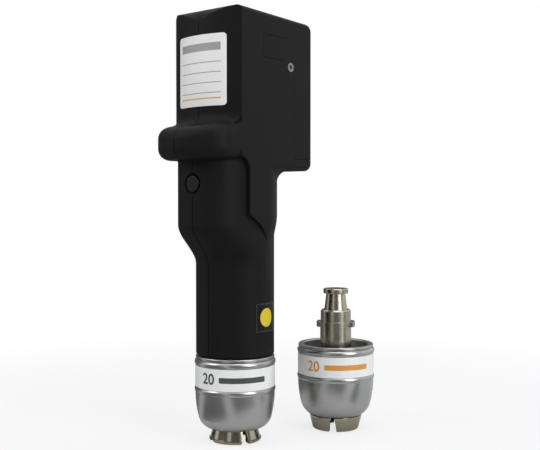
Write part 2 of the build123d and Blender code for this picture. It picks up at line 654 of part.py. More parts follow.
def sleeve():
    web_top = BELL_HIGH - RIM_DEEP
    web_low = web_top - WEB_THICK
    bore = ROD_GUIDE_R + RUN_GAP
    shoulder_low = ROD_GUIDE_LOW - ROD_SHOULDER
    body = rod(SLEEVE_R, web_low, LUG_HIGH) + rod(SLEEVE_R - SLEEVE_STEP, LUG_HIGH, SLEEVE_TOP)
    top_edge = body.edges().filter_by(GeomType.CIRCLE).sort_by(Axis.Z)[-1]
    body = chamfer(top_edge, SLEEVE_CHAMFER)
    body += rod(SLEEVE_FLANGE_R, web_top, web_top + SLEEVE_FLANGE_THICK)
    body += rod(SLEEVE_R + LUG_RING, LUG_LOW + 1.2, LUG_HIGH)
    reach = SLEEVE_R + LUG_REACH
    lugs = block(-reach, reach, -LUG_HALF_W, LUG_HALF_W, LUG_LOW, LUG_HIGH)
    body += lugs & rod(reach, LUG_LOW, LUG_HIGH)
    body -= rod(bore, ROD_GUIDE_LOW, SLEEVE_TOP + 1)
    body -= rod(ROD_R + SLIDE_GAP, web_low - 1, ROD_GUIDE_LOW + 1)
    body -= rod(SPRING_R + SPRING_WIRE + SLIDE_GAP, web_low - 1, shoulder_low)
    return body


def pull_rod():
    guide_low = ROD_GUIDE_LOW + SLIDE_GAP
    knob_low = SLEEVE_TOP + NECK_LONG
    profile = Polyline(
        (0, PIVOT_HIGH - EYE_R), (ROD_R, PIVOT_HIGH - EYE_R), (ROD_R, guide_low), (ROD_GUIDE_R, guide_low),
        (ROD_GUIDE_R, SLEEVE_TOP), (NECK_TOP_R, knob_low), (KNOB_R - 0.5, knob_low), (KNOB_R, knob_low + 0.5),
        (KNOB_R, knob_low + KNOB_THICK - 0.5), (KNOB_R - 0.5, knob_low + KNOB_THICK), (0, knob_low + KNOB_THICK),
        close=True,
    )
    return revolve(Plane.XZ * make_face(profile), Axis.Z)


def jaw_hub():
    hub = tube(HUB_R, ROD_R + SEAT_GAP, PIVOT_HIGH - EYE_R, PIVOT_HIGH + EYE_R)
    half = ARM_WIDE / 2 + SLIDE_GAP / 2
    inner = PIVOT_AT - EYE_R - SLIDE_GAP
    for i in range(JAW_COUNT):
        turn = Rot(0, 0, 360 / JAW_COUNT * i)
        hub -= turn * block(inner, HUB_R + 1, -half, half, PIVOT_HIGH - EYE_R - 1, PIVOT_HIGH + EYE_R + 1)
        hub -= turn * pin_at(PIN_R + SEAT_GAP, PIN_LONG + 1)
    return hub


def pin_at(radius, long):
    return Pos(PIVOT_AT, 0, PIVOT_HIGH) * Rot(90, 0, 0) * Cylinder(radius, long)


def jaw_pins():
    pins = [Rot(0, 0, 360 / JAW_COUNT * i) * pin_at(PIN_R, PIN_LONG) for i in range(JAW_COUNT)]
    return Compound(children=pins)


def anvil():
    # The pad that the cap's top meets, on a stem under the pull rod
    high = PIVOT_HIGH - EYE_R
    pad_top = high - 13.0
    body = rod(ANVIL_R, pad_top - ANVIL_THICK, pad_top) + rod(ROD_R, pad_top, high)
    bottom = body.edges().filter_by(GeomType.CIRCLE).sort_by(Axis.Z)[0]
    return chamfer(bottom, 0.6)


def return_spring():
    low = PIVOT_HIGH + EYE_R
    high = ROD_GUIDE_LOW - ROD_SHOULDER
    wire = SPRING_WIRE
    pitch = (high - low - 2 * wire) / SPRING_TURNS
    path = Helix(pitch, high - low - 2 * wire, SPRING_R)
    section = Plane(origin=path @ 0, z_dir=path % 0) * Circle(wire)
    return Pos(0, 0, low + wire) * sweep(section, path=path, is_frenet=True)


def jaw_profile(points, inner_r, reach):
    inner = [(SEAL_R, -reach), (SEAL_R, LIP_HIGH - reach), (inner_r, LIP_HIGH + 0.8 - reach), (inner_r, JAW_TOP)]
    return revolve(Plane.XZ * make_face(Polyline(*points, *inner, close=True)), Axis.Z)


def jaws(points, inner_r, reach, slit_top, slit_tip):
    ring = jaw_profile(points, inner_r, reach)
    top = slit_top / 2
    tip = slit_tip / 2
    slit = Polyline((-tip, -reach - 0.01), (-top, 0), (-top, JAW_TOP + 1), (top, JAW_TOP + 1), (top, 0),
                    (tip, -reach - 0.01), close=True)
    cutter = extrude(Plane.XZ * make_face(slit), 30, both=True)
    ring -= Rot(0, 0, 45) * cutter
    ring -= Rot(0, 0, -45) * cutter
    outer = points[0][0] - 1.0
    inner = inner_r + 0.5
    arm_outline = Polyline((inner, JAW_TOP - 4), (outer, JAW_TOP - 4), (outer, JAW_TOP + 2),
                           (PIVOT_AT + EYE_R * 0.95, PIVOT_HIGH), (PIVOT_AT - EYE_R * 0.95, PIVOT_HIGH),
                           (PIVOT_AT - EYE_R * 0.95, PIVOT_HIGH - 5), (inner, JAW_TOP + 1), close=True)
    arm_face = make_face(arm_outline) + Pos(PIVOT_AT, PIVOT_HIGH) * Circle(EYE_R)
    arm_face -= Pos(PIVOT_AT, PIVOT_HIGH) * Circle(PIN_R + RUN_GAP)
    arm = extrude(Plane.XZ * arm_face, ARM_WIDE / 2, both=True)
    result = []
    for i in range(JAW_COUNT):
        turn = 360 / JAW_COUNT * i
        middle = Rot(0, 0, turn) * Pos(outer, 0, 0)
        segment = ring.solids().sort_by_distance(middle.position)[0]
        result.append(segment + Rot(0, 0, turn) * arm)
    return result


def decapper_jaws():
    flare = math.tan(math.radians(DECAP_FLARE))
    band_top = DECAP_BAND - DECAP_REACH
    points = [
        (DECAP_NECK_R, JAW_TOP),
        (DECAP_NECK_R, 0),
        (DECAP_NECK_R - flare * (band_top + 0.4), band_top + 0.4),
        (DECAP_TIP_R, band_top),
        (DECAP_TIP_R, 0.7 - DECAP_REACH),
        (DECAP_TIP_R - 0.7, -DECAP_REACH),
    ]
    return jaws(points, DECAP_INNER_R, DECAP_REACH, DECAP_SLIT_TOP, DECAP_SLIT_TIP)


def crimper_jaws():
    points = [
        (CRIMP_NECK_R, JAW_TOP),
        (CRIMP_NECK_R, -0.5),
        (CRIMP_BAND_R, -1.0),
        (CRIMP_BAND_R, -2.0),
        (CRIMP_TIP_R + 0.5, 0.5 - CRIMP_REACH),
        (CRIMP_TIP_R, -CRIMP_REACH),
    ]
    return jaws(points, CRIMP_INNER_R, CRIMP_REACH, CRIMP_SLIT_TOP, CRIMP_SLIT_TIP)


def head_parts(name, mouth_r, jaw_set, place, jaw_turn, lug_turn):
    parts = {
        f"{name}_bell": place * bell(mouth_r),
        f"{name}_band": place * tube(BAND_R, BELL_R + SEAT_GAP, BAND_LOW + 0.2, BAND_HIGH - 0.2),
        f"{name}_sleeve": place * Rot(0, 0, lug_turn) * sleeve(),
        f"{name}_rod": place * pull_rod(),
        f"{name}_hub": place * Rot(0, 0, jaw_turn) * jaw_hub(),
        f"{name}_pins": place * Rot(0, 0, jaw_turn) * jaw_pins(),
        f"{name}_anvil": place * anvil(),
        f"{name}_spring": place * return_spring(),
    }
    for i, jaw in enumerate(jaw_set):
        parts[f"{name}_jaw_{i + 1}"] = place * Rot(0, 0, jaw_turn) * jaw
    return parts


def main():
    nodes = {}
    nodes.update(housing_parts())
    nodes.update(screws())
    nodes["front_label"] = front_label()
    nodes.update(trigger_parts())
    nodes.update(drive_parts())
    nodes.update(battery_parts())
    nodes.update(socket_parts())
    fitted = Pos(0, 0, DECAP_REACH)
    spare = Pos(SPARE_X, SPARE_Y, CRIMP_REACH)
    nodes.update(head_parts("decapper", DECAP_MOUTH_R, decapper_jaws(), fitted, DECAP_TURN, LUG_TURN))
    nodes.update(head_parts("crimper", CRIMP_MOUTH_R, crimper_jaws(), spare, CRIMP_TURN, SPARE_LUG_TURN))
    os.makedirs("parts", exist_ok=True)
    for name, shape in nodes.items():
        export_step(shape, f"parts/{name}.step")
        print(name, len(shape.solids()), round(shape.volume), shape.is_valid)


main()
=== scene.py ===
import math

import bmesh
import bpy
from mathutils import Matrix, Vector


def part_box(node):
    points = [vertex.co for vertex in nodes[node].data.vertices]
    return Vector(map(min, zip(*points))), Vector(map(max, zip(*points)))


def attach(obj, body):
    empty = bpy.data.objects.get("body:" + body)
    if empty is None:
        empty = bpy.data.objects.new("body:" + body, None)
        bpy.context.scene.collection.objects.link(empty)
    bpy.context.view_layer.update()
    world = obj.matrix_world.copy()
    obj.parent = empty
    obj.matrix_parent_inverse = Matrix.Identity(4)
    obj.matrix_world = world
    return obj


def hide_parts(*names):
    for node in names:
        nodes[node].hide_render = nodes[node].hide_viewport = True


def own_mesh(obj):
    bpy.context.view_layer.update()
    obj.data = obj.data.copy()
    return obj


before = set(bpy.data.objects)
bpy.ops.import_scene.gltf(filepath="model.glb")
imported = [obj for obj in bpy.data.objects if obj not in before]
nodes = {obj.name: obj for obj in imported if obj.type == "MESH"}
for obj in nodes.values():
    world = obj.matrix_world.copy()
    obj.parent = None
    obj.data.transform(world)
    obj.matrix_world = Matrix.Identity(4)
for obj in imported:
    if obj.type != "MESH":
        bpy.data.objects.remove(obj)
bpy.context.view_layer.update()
print("frame loaded:", len(nodes), "pieces")

# Looks of a hand-held crimping tool with one head fitted and one beside it.
# Metres, in the part's own frame: +Z up, -Y the front, the fitted jaws' tips at zero.


class Wire:  # a socket that can be used in Python expressions
    def __init__(self, sheet, socket):
        self.sheet = sheet
        self.socket = socket

    def calc(self, operation, first, second=None):
        inputs = {0: first} if second is None else {0: first, 1: second}
        return self.sheet.add("Math", {"operation": operation}, inputs)

    def __add__(self, other): return self.calc("ADD", self, other)
    def __radd__(self, other): return self.calc("ADD", other, self)
    def __sub__(self, other): return self.calc("SUBTRACT", self, other)
    def __rsub__(self, other): return self.calc("SUBTRACT", other, self)
    def __mul__(self, other): return self.calc("MULTIPLY", self, other)
    def __rmul__(self, other): return self.calc("MULTIPLY", other, self)
    def __lt__(self, other): return self.calc("LESS_THAN", self, other)
    def __abs__(self): return self.calc("ABSOLUTE", self)
    def most(self, other): return self.calc("MAXIMUM", self, other)
    def wave(self): return self.calc("SINE", self)
    def root(self): return self.calc("SQRT", self)

    def step(self, low, high):  # 0 below low, 1 above high, soft between
        ends = {"From Min": low, "From Max": high, "To Min": 0.0, "To Max": 1.0}
        return self.sheet.add("MapRange", {"interpolation_type": "SMOOTHSTEP"},
                              {"Value": self, **ends})

    def between(self, low, high, soft):  # 1 inside a band
        return self.step(low - soft, low) * (1 - self.step(high, high + soft))


class Sheet:  # the nodes of one material, or of the world
    def __init__(self, owner):
        self.owner = owner
        owner.use_nodes = True
        self.tree = owner.node_tree
        self.tree.nodes.clear()

    def add(self, kind, settings=None, inputs=None, output=0):
        node = self.tree.nodes.new("ShaderNode" + kind)
        for key, value in (settings or {}).items():
            setattr(node, key, value)
        for key, value in (inputs or {}).items():
            if isinstance(value, Wire):
                self.tree.links.new(value.socket, node.inputs[key])
            else:
                node.inputs[key].default_value = value
        return Wire(self, node.outputs[output]) if node.outputs else None

    def noise(self, scale, detail=2.0, roughness=0.5, place=None):
        return self.add("TexNoise", None, {"Vector": place or self.place, "Scale": scale,
                                           "Detail": detail, "Roughness": roughness})

    def stretched(self, x, y, z):  # the place, squeezed along each axis
        return self.add("Mapping", {"vector_type": "POINT"},
                        {"Vector": self.place, "Scale": (x, y, z)})

    def mix(self, factor, first, second):  # colours
        def full(value): return value if isinstance(value, Wire) else (*value, 1.0)
        return self.add("Mix", {"data_type": "RGBA"},
                        {0: factor, 6: full(first), 7: full(second)}, 2)

    def bump(self, height, distance, strength, below=None):
        inputs = {"Height": height, "Distance": distance, "Strength": strength}
        if below is not None:
            inputs["Normal"] = below
        return self.add("Bump", None, inputs)

    def rounded(self, radius):  # softens the drawn edges of a machined or moulded piece
        return self.add("Bevel", {"samples": 4}, {"Radius": radius})

    def finish(self, inputs):
        shader = self.add("BsdfPrincipled", None, inputs)
        self.add("OutputMaterial", None, {"Surface": shader})
        return self.owner


def newSheet(name):
    s = Sheet(bpy.data.materials.new(name))
    s.place = s.add("TexCoord", output="Object")
    s.x, s.y, s.z = [s.add("SeparateXYZ", None, {0: s.place}, axis) for axis in "XYZ"]
    return s


def around(sheet, centre):  # distance from an upright axis
    x = sheet.x - centre[0]
    y = sheet.y - centre[1]
    return (x * x + y * y).root()


def middle(name):  # the centre of a piece's box
    low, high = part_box(name)
    return tuple((a + b) / 2 for a, b in zip(low, high))


toolAxis = middle("decapper_band")[:2]
spareAxis = middle("crimper_band")[:2]


def mouldedPlastic():
    # Fine-grained black moulding, rubbed in places, with the joint line down its front
    look = {"colour": (0.0068, 0.0068, 0.0072), "worn": (0.0115, 0.0115, 0.0122),
            "scuffed": (0.03, 0.03, 0.031), "groove": (0.0004, 0.0004, 0.0004),
            "broadScale": 38.0, "grainScale": 2600.0, "pebbleScale": 900.0,
            "rubbedScale": 9.0, "scuffScale": 140.0, "seamHalf": 0.0004, "seamDeep": 3.0,
            "rough": 0.47, "grainDeep": 0.00006, "edge": 0.0009}
    s = newSheet("mouldedPlastic")
    broad = s.noise(look["broadScale"], 4.0, 0.6)
    fine = s.noise(look["grainScale"], 2.0, 0.6)
    pebble = s.noise(look["pebbleScale"], 3.0, 0.55)
    rubbed = s.noise(look["rubbedScale"], 5.0, 0.7).step(0.52, 0.72)
    drawn = s.stretched(1.0, 1.0, 0.12)
    scuff = s.noise(look["scuffScale"], 6.0, 0.75, drawn).step(0.66, 0.74) * rubbed
    seam = abs(s.x).step(look["seamHalf"], look["seamHalf"] * 0.6) * (s.y < 0.0)
    colour = s.mix(broad * 0.5 + rubbed * 0.3, look["colour"], look["worn"])
    colour = s.mix(scuff * 0.35, colour, look["scuffed"])
    colour = s.mix(seam, colour, look["groove"])
    height = fine * 0.6 + pebble * 0.4 - seam * look["seamDeep"]
    return s.finish({
        "Base Color": colour,
        "Roughness": look["rough"] + broad * 0.08 - rubbed * 0.07 + scuff * 0.1,
        "Specular IOR Level": 0.09,
        "Normal": s.bump(height, look["grainDeep"], 0.5, s.rounded(look["edge"]))})


def buttonPlastic():
    look = {"colour": (0.005, 0.005, 0.0055), "polished": (0.009, 0.009, 0.01),
            "rubbedScale": 260.0, "grainScale": 3200.0, "rough": 0.42,
            "grainDeep": 0.00003, "edge": 0.0004}
    s = newSheet("buttonPlastic")
    rubbed = s.noise(look["rubbedScale"], 4.0, 0.6).step(0.4, 0.7)
    fine = s.noise(look["grainScale"])
    return s.finish({
        "Base Color": s.mix(rubbed, look["colour"], look["polished"]),
        "Roughness": look["rough"] - rubbed * 0.14,
        "Specular IOR Level": 0.22,
        "Normal": s.bump(fine, look["grainDeep"], 0.4, s.rounded(look["edge"]))})


def ruledLabel():
    # A blank label: a grey bar, four lines to write on and a coloured rule
    look = {"paper": (0.80, 0.80, 0.79), "soiled": (0.75, 0.75, 0.73),
            "line": (0.22, 0.22, 0.23), "bar": (0.30, 0.31, 0.32), "rule": (0.78, 0.33, 0.03),
            "half": 0.0155, "soft": 0.00008, "barFrom": 0.0098, "barTo": 0.0052,
            "lineDrops": (0.0165, 0.0225, 0.0285, 0.0345), "lineHalf": 0.00018,
            "ruleFrom": 0.0042, "ruleTo": 0.0049}
    low, high = (corner[2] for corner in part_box("front_label"))
    s = newSheet("ruledLabel")
    inside = abs(s.x).step(look["half"] + 0.0002, look["half"])
    lines = None
    for drop in look["lineDrops"]:
        at = high - drop
        band = s.z.between(at - look["lineHalf"], at + look["lineHalf"], look["soft"])
        lines = band if lines is None else lines.most(band)
    bar = s.z.between(high - look["barFrom"], high - look["barTo"], look["soft"])
    thin = s.z.between(low + look["ruleFrom"], low + look["ruleTo"], look["soft"])
    soil = s.noise(90.0, 5.0, 0.65).step(0.45, 0.8)
    colour = s.mix(soil * 0.35, look["paper"], look["soiled"])
    colour = s.mix(lines * inside, colour, look["line"])
    colour = s.mix(bar * (abs(s.x) < look["half"]), colour, look["bar"])
    colour = s.mix(thin * inside, colour, look["rule"])
    fibre = s.noise(2400.0)
    return s.finish({
        "Base Color": colour, "Roughness": 0.36 + soil * 0.12 - lines * 0.05,
        "Coat Weight": 0.25, "Coat Roughness": 0.2, "Normal": s.bump(fibre, 0.00002, 0.4)})


def bandFilm(name, centre):
    look = {"film": (0.80, 0.81, 0.80), "soiled": (0.62, 0.62, 0.60), "soilScale": 120.0,
            "edgeFrom": 0.02478, "edgeTo": 0.02488}
    s = newSheet(name)
    soil = s.noise(look["soilScale"], 5.0, 0.7, s.stretched(1.0, 1.0, 0.5)).step(0.48, 0.82)
    fibre = s.noise(1800.0)
    edge = around(s, centre).step(look["edgeFrom"], look["edgeTo"])
    return s.finish({
        "Base Color": s.mix(soil * 0.5, look["film"], look["soiled"]),
        "Roughness": 0.38 + soil * 0.15 - edge * 0.04,
        "Coat Weight": 0.2, "Coat Roughness": 0.25, "Normal": s.bump(fibre, 0.00002, 0.4)})


def turnedMetal(name, centre, look):
    # Lathe rings lie level round the axis, and differ a little from ring to ring
    s = newSheet(name)
    radius = around(s, centre)
    ringPlace = s.add("CombineXYZ", None, {0: s.z * look["rings"], 1: radius * look["rings"]})
    rings = s.add("TexNoise", {"noise_dimensions": "2D"},
                  {"Vector": ringPlace, "Scale": 1.0, "Detail": 3.0, "Roughness": 0.6})
    broad = s.noise(60.0, 4.0, 0.6)
    streak = s.noise(110.0, 6.0, 0.75, s.stretched(0.25, 0.25, 1.6)).step(0.55, 0.7)
    smear = s.noise(24.0, 5.0, 0.7).step(0.45, 0.75)
    speck = s.noise(900.0).step(0.72, 0.78)
    colour = s.mix(rings * 0.35 + broad * 0.3, look["colour"], look["dark"])
    colour = s.mix(smear * 0.25 + speck * 0.3, colour, look["dull"])
    marks = s.bump(rings + speck * 0.2, look["deep"], 0.5, s.rounded(look["edge"]))
    return s.finish({
        "Base Color": colour, "Metallic": 1.0, "Normal": marks,
        "Roughness": look["rough"] + rings * 0.06 + smear * 0.05 + streak * 0.04})


def groundMetal(name, look):
    # Milled and ground faces with fine scratches in two directions
    s = newSheet(name)
    across = s.noise(700.0, 4.0, 0.7, s.stretched(0.12, 0.12, 1.0))
    along = s.noise(700.0, 4.0, 0.7, s.stretched(1.0, 1.0, 0.1))
    smear = s.noise(45.0, 5.0, 0.7).step(0.4, 0.75)
    pits = s.noise(1300.0).step(0.7, 0.78)
    colour = s.mix(across * 0.4 + smear * 0.3, look["colour"], look["dark"])
    colour = s.mix(pits * 0.5, colour, look["dull"])
    height = across + along * 0.5 - pits * 0.5
    return s.finish({
        "Base Color": colour, "Metallic": 1.0,
        "Roughness": look["rough"] + smear * 0.1 + along * 0.06,
        "Normal": s.bump(height, look["deep"], 0.4, s.rounded(look["edge"]))})


def innerPlastic(name, colour, pale, rough):
    s = newSheet(name)
    flow = s.noise(50.0, 5.0, 0.6, s.stretched(1.0, 1.0, 0.4))
    fine = s.noise(1800.0)
    return s.finish({
        "Base Color": s.mix(flow, colour, pale), "Roughness": rough + flow * 0.1,
        "Normal": s.bump(fine, 0.00004, 0.4, s.rounded(0.0004))})


def boardLaminate():
    look = {"laminate": (0.01, 0.09, 0.035), "track": (0.03, 0.2, 0.08),
            "trackScale": 260.0, "weaveScale": 9000.0}
    s = newSheet("boardLaminate")
    tracks = s.add("TexVoronoi", {"feature": "DISTANCE_TO_EDGE"},
                   {"Vector": s.place, "Scale": look["trackScale"]}, "Distance")
    copper = tracks.step(0.10, 0.06)
    weave = (s.x * look["weaveScale"]).wave() * (s.z * look["weaveScale"]).wave()
    return s.finish({
        "Base Color": s.mix(copper * 0.6, look["laminate"], look["track"]),
        "Roughness": 0.32 + weave * 0.04, "Normal": s.bump(weave + copper, 0.00003, 0.4)})


def cellWrap():
    look = {"wrap": (0.03, 0.12, 0.32), "pale": (0.05, 0.17, 0.4), "end": (0.45, 0.45, 0.44),
            "low": 0.2055, "high": 0.2505}
    s = newSheet("cellWrap")
    wrinkle = s.noise(420.0, 4.0, 0.6, s.stretched(1.0, 1.0, 0.15))
    sleeved = s.z.between(look["low"], look["high"], 0.0003)
    wrap = s.mix(wrinkle * 0.5, look["wrap"], look["pale"])
    return s.finish({
        "Base Color": s.mix(sleeved, look["end"], wrap), "Roughness": 0.25 + wrinkle * 0.12,
        "Normal": s.bump(wrinkle, 0.00015, 0.4)})


aluminiumLook = {"colour": (0.445, 0.45, 0.435), "dark": (0.345, 0.35, 0.34),
                 "dull": (0.33, 0.33, 0.325), "rings": 2600.0, "rough": 0.26,
                 "deep": 0.00005, "edge": 0.0003}
steelLook = {"colour": (0.46, 0.43, 0.355), "dark": (0.31, 0.285, 0.23),
             "dull": (0.2, 0.18, 0.14), "rings": 3800.0, "rough": 0.22,
             "deep": 0.00004, "edge": 0.00035}
brassLook = {"colour": (0.72, 0.52, 0.24), "dark": (0.55, 0.38, 0.16),
             "dull": (0.36, 0.24, 0.1), "rings": 3000.0, "rough": 0.26,
             "deep": 0.00004, "edge": 0.0002}
jawLook = {"colour": (0.40, 0.37, 0.285), "dark": (0.24, 0.22, 0.16),
           "dull": (0.17, 0.15, 0.11), "rough": 0.1, "deep": 0.00003, "edge": 0.00035}
zincLook = {"colour": (0.50, 0.50, 0.51), "dark": (0.38, 0.38, 0.39),
            "dull": (0.3, 0.3, 0.3), "rough": 0.3, "deep": 0.00006, "edge": 0.0003}
darkScrewLook = {"colour": (0.26, 0.26, 0.27), "dark": (0.15, 0.15, 0.155),
                 "dull": (0.1, 0.1, 0.1), "rough": 0.34, "deep": 0.00004, "edge": 0.0002}

plastic = mouldedPlastic()
zinc = groundMetal("platedZinc", zincLook)
jawSteel = groundMetal("jawSteel", jawLook)
darkScrew = groundMetal("blackenedScrew", darkScrewLook)
brass = turnedMetal("turnedBrass", toolAxis, brassLook)
nylon = innerPlastic("padNylon", (0.62, 0.61, 0.56), (0.7, 0.69, 0.65), 0.42)
toolSteel = turnedMetal("turnedSteel", toolAxis, steelLook)
spareSteel = turnedMetal("turnedSteelSpare", spareAxis, steelLook)
finishes = {
    "housing_right": plastic, "housing_left": plastic, "rear_cover": plastic,
    "cover_screws": darkScrew, "housing_screws": darkScrew, "socket_screws": darkScrew,
    "front_label": ruledLabel(), "trigger_button": buttonPlastic(),
    "trigger_switch": innerPlastic("switchPlastic", (0.02, 0.02, 0.02), (0.035, 0.035, 0.035), 0.4),
    "battery_tray": innerPlastic("trayPlastic", (0.06, 0.06, 0.065), (0.09, 0.09, 0.095), 0.5),
    "control_board": boardLaminate(), "battery_cells": cellWrap(),
    "carriage": zinc, "bearing_plate": zinc, "gearbox": zinc, "nose_socket": zinc,
    "socket_plate": zinc, "decapper_spring": zinc, "crimper_spring": zinc,
    "motor": turnedMetal("motorCan", toolAxis, dict(aluminiumLook, rough=0.34)),
    "drive_nut": brass, "guide_bushes": brass,
    "guide_rods": groundMetal("groundRods", dict(jawLook, rough=0.14)),
    "lead_screw": toolSteel, "thrust_bearing": toolSteel,
    "decapper_bell": turnedMetal("turnedAluminium", toolAxis, aluminiumLook),
    "crimper_bell": turnedMetal("turnedAluminiumSpare", spareAxis, aluminiumLook),
    "decapper_band": bandFilm("bandFilm", toolAxis),
    "crimper_band": bandFilm("bandFilmSpare", spareAxis),
    "decapper_anvil": nylon, "crimper_anvil": nylon,
}
for head, steel in (("decapper", toolSteel), ("crimper", spareSteel)):
    for part in ("sleeve", "rod", "hub", "pins"):
        finishes[f"{head}_{part}"] = steel
    for number in range(1, 5):
        finishes[f"{head}_jaw_{number}"] = jawSteel
for name, obj in nodes.items():
    for slot in obj.material_slots:
        slot.material = finishes[name]
print("finishes set on", len(finishes), "pieces")


def newPiece(name, bm, material, body):
    bmesh.ops.recalc_face_normals(bm, faces=bm.faces[:])
    mesh = bpy.data.meshes.new(name)
    bm.to_mesh(mesh)
    bm.free()
    mesh.materials.append(material)
    obj = bpy.data.objects.new(name, mesh)
    bpy.context.scene.collection.objects.link(obj)
    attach(obj, body)
    return obj


def wrapped(bm, centre, radius, heading, height):
    # Lays a flat drawing (x along the band, y up) round an upright cylinder
    for vert in bm.verts:
        angle = heading + vert.co.x / radius
        reach = radius + vert.co.z
        vert.co = Vector((centre[0] + reach * math.sin(angle),
                          centre[1] - reach * math.cos(angle), height + vert.co.y))


def drawnText(text, size):
    curve = bpy.data.curves.new("drawnText", "FONT")
    curve.body = text
    curve.size = size
    curve.align_x = "CENTER"
    curve.align_y = "CENTER"
    curve.resolution_u = 6
    curve.offset = size * 0.018  # a little bolder
    holder = bpy.data.objects.new("drawnText", curve)
    bpy.context.scene.collection.objects.link(holder)
    mesh = bpy.data.meshes.new_from_object(holder)
    bpy.data.objects.remove(holder)
    return mesh


def sliced(bm, spacing):  # cuts a flat drawing into strips, so that it can bend
    reach = max(abs(vert.co.x) for vert in bm.verts)
    cut = -reach + spacing
    while cut < reach:
        bmesh.ops.bisect_plane(bm, geom=bm.verts[:] + bm.edges[:] + bm.faces[:], dist=1e-7,
                               plane_co=(cut, 0.0, 0.0), plane_no=(1.0, 0.0, 0.0))
        cut += spacing


def roundedPatch(bm, width, height, corner):
    patch = bmesh.ops.create_grid(bm, x_segments=1, y_segments=1, size=0.5)["verts"]
    bmesh.ops.scale(bm, vec=(width, height, 1.0), verts=patch)
    bmesh.ops.bevel(bm, geom=patch, offset=corner, offset_type="OFFSET", affect="VERTICES",
                    segments=5, profile=0.5, material=-1)


def printRound(name, bm, centre, values, material, body):
    # A flat drawing gets its thickness and is wrapped round the upright axis
    sliced(bm, 0.0008)
    bmesh.ops.remove_doubles(bm, verts=bm.verts[:], dist=1e-7)
    bmesh.ops.solidify(bm, geom=bm.faces[:], thickness=-values["thick"])
    wrapped(bm, centre, values["radius"], values["heading"], values["height"])
    newPiece(name, bm, material, body)


def inkFor(name, colour):
    s = newSheet(name)
    worn = s.noise(700.0, 4.0, 0.6).step(0.3, 0.8)
    pale = tuple(min(1.0, value * 1.25 + 0.02) for value in colour)
    return s.finish({
        "Base Color": s.mix(worn * 0.5, colour, pale), "Roughness": 0.42 + worn * 0.12,
        "Normal": s.bump(worn, 0.00002, 0.3)})


def bandMark(name, head, centre, ink, body):
    # A plain number and a plain bar on a head's band
    values = {"proud": 0.00001, "thick": 0.00005, "numberSize": 0.0092, "numberAt": -0.0172,
              "barFrom": -0.0095, "barTo": 0.0205, "barHigh": 0.0034, "barCorner": 0.0006,
              "heading": math.radians(40.0)}
    low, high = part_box(f"{head}_band")
    values["radius"] = (high[0] - low[0]) / 2 + values["proud"]
    values["height"] = middle(f"{head}_band")[2]
    bm = bmesh.new()
    long = values["barTo"] - values["barFrom"]
    barAt = (values["barTo"] + values["barFrom"]) / 2
    roundedPatch(bm, long, values["barHigh"], values["barCorner"])
    bmesh.ops.translate(bm, vec=(barAt, 0.0, 0.0), verts=bm.verts[:])
    number = drawnText("20", values["numberSize"])
    number.transform(Matrix.Translation((values["numberAt"], 0.0, 0.0)))
    bm.from_mesh(number)
    bpy.data.meshes.remove(number)
    printRound(name, bm, centre, values, ink, body)


def handlePatch():
    # A plain dark patch with a yellow disc, on the round lower handle
    values = {"radius": 0.02442, "heading": math.radians(93.0), "height": 0.078,
              "wide": 0.0185, "tall": 0.0185, "corner": 0.0022, "thick": 0.00012,
              "disc": 0.0056, "soft": 0.00012, "edgeFrom": 0.0011, "edgeTo": 0.0008,
              "film": (0.006, 0.006, 0.007), "border": (0.05, 0.05, 0.05),
              "yellow": (0.62, 0.50, 0.03), "worn": (0.45, 0.36, 0.03)}
    s = newSheet("patchFilm")
    angle = s.x.calc("ARCTAN2", s.x - toolAxis[0], toolAxis[1] - s.y) - values["heading"]
    across = angle * values["radius"]
    up = s.z - values["height"]
    reach = (across * across + up * up).root()
    disc = reach.step(values["disc"] + values["soft"], values["disc"])
    half = values["wide"] / 2
    rim = abs(across).most(abs(up))
    edge = rim.between(half - values["edgeFrom"], half - values["edgeTo"], 0.0001)
    worn = s.noise(500.0, 4.0, 0.6).step(0.4, 0.8)
    colour = s.mix(disc, s.mix(edge, values["film"], values["border"]),
                   s.mix(worn * 0.3, values["yellow"], values["worn"]))
    film = s.finish({
        "Base Color": colour, "Roughness": 0.3 + worn * 0.15, "Specular IOR Level": 0.15,
        "Normal": s.bump(worn, 0.00002, 0.3)})
    bm = bmesh.new()
    roundedPatch(bm, values["wide"], values["tall"], values["corner"])
    printRound("handlePatch", bm, toolAxis, values, film, "tool")


bandMark("decapperMark", "decapper", toolAxis, inkFor("greyInk", (0.055, 0.055, 0.06)),
         "decapper_head")
bandMark("crimperMark", "crimper", spareAxis, inkFor("amberInk", (0.62, 0.27, 0.035)),
         "crimper_head")
handlePatch()
print("bands and patch printed")


def returnSpring(head, centre):
    # The wire again, as a mesh of its own on the rod's body; the real spring shortens towards the
    # hub as the rod rises
    values = {"turns": 4, "steps": 128, "wire": 0.0007, "sides": 12, "travel": 0.0061}
    low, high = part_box(f"{head}_spring")
    wire = values["wire"]
    tall = high[2] - low[2]
    rise = (tall - 2 * wire) / values["steps"]
    place = Matrix.Translation((high[0] - wire, centre[1], low[2] + wire))
    bm = bmesh.new()
    ring = bmesh.ops.create_circle(bm, segments=values["sides"], radius=wire,
                                   matrix=place @ Matrix.Rotation(math.pi / 2, 4, "X"))["verts"]
    cap = bmesh.ops.contextual_create(bm, geom=ring)["faces"]
    edges = list({edge for vert in ring for edge in vert.link_edges})
    bmesh.ops.spin(bm, geom=ring + edges + cap, cent=(centre[0], centre[1], 0.0),
                   axis=(0.0, 0.0, 1.0), dvec=(0.0, 0.0, rise),
                   angle=2 * math.pi * values["turns"], steps=values["steps"])
    for face in bm.faces:
        face.smooth = True
    obj = newPiece(f"{head}Spring", bm, zinc, f"{head}_rod_body")
    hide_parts(f"{head}_spring")
    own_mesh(obj)


returnSpring("decapper", toolAxis)
returnSpring("crimper", spareAxis)
print("springs wound")


